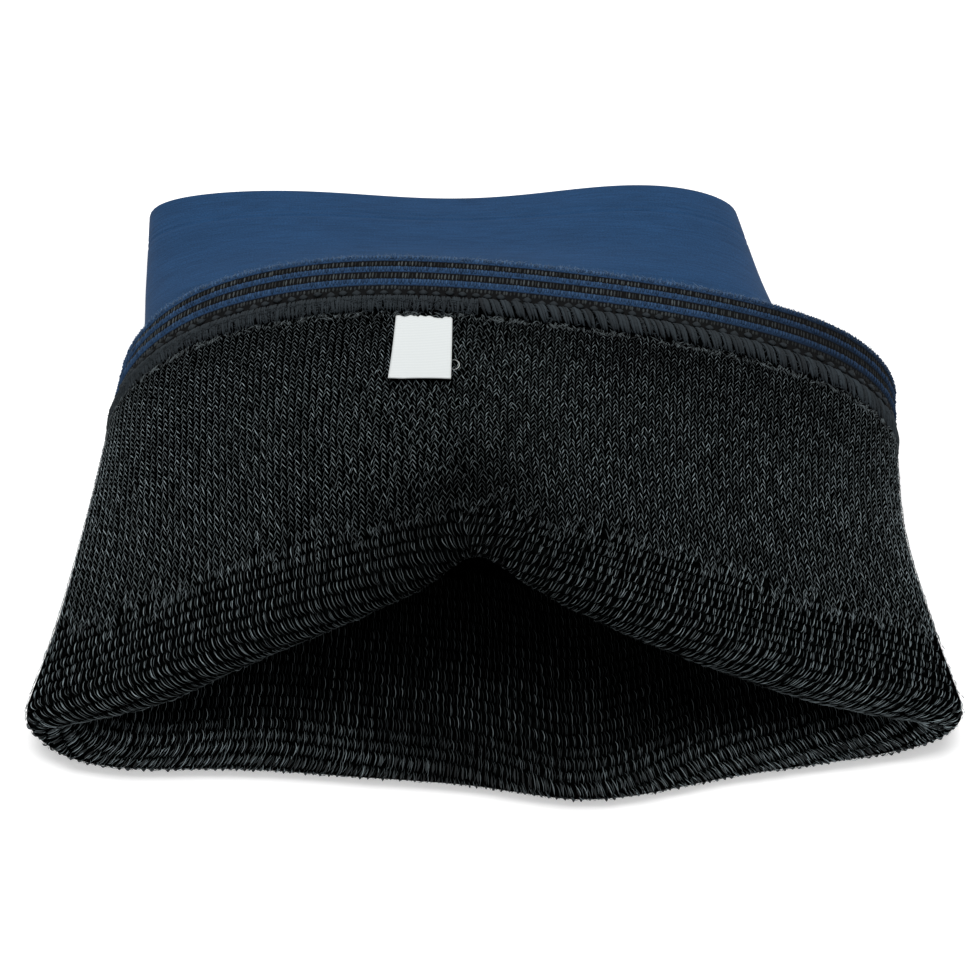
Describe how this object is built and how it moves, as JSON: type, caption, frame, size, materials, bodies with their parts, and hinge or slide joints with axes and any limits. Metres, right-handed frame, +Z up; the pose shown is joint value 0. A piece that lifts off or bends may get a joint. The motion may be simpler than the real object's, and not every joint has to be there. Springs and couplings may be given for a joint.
{
  "type": "thigh compression sleeve",
  "caption": "Knitted elastic thigh sleeve lying flat, its wide end turned back as a cuff with a striped hem, an overlocked seam and a blank sewn label.",
  "frame": {"origin": "centre of the part's footprint, on the surface it lies on", "axes": "+Z up, +Y from the open mouth to the narrow end, +X to the right as seen from the mouth"},
  "size_m": [0.2158, 0.2094, 0.0541],
  "materials": {
    "double_faced_knit": "matt elastic knit, navy outside and black inside",
    "striped_knit": "matt ribbed knit, navy with black lines",
    "bulked_thread": "matt bulked thread",
    "satin_ribbon": "white satin ribbon, blank"
  },
  "bodies": {
    "root": {"sleeve_body": "double_faced_knit", "hem_welt": "striped_knit", "overlock_seam": "bulked_thread", "sewn_label": "satin_ribbon"}
  },
  "joints": []
}
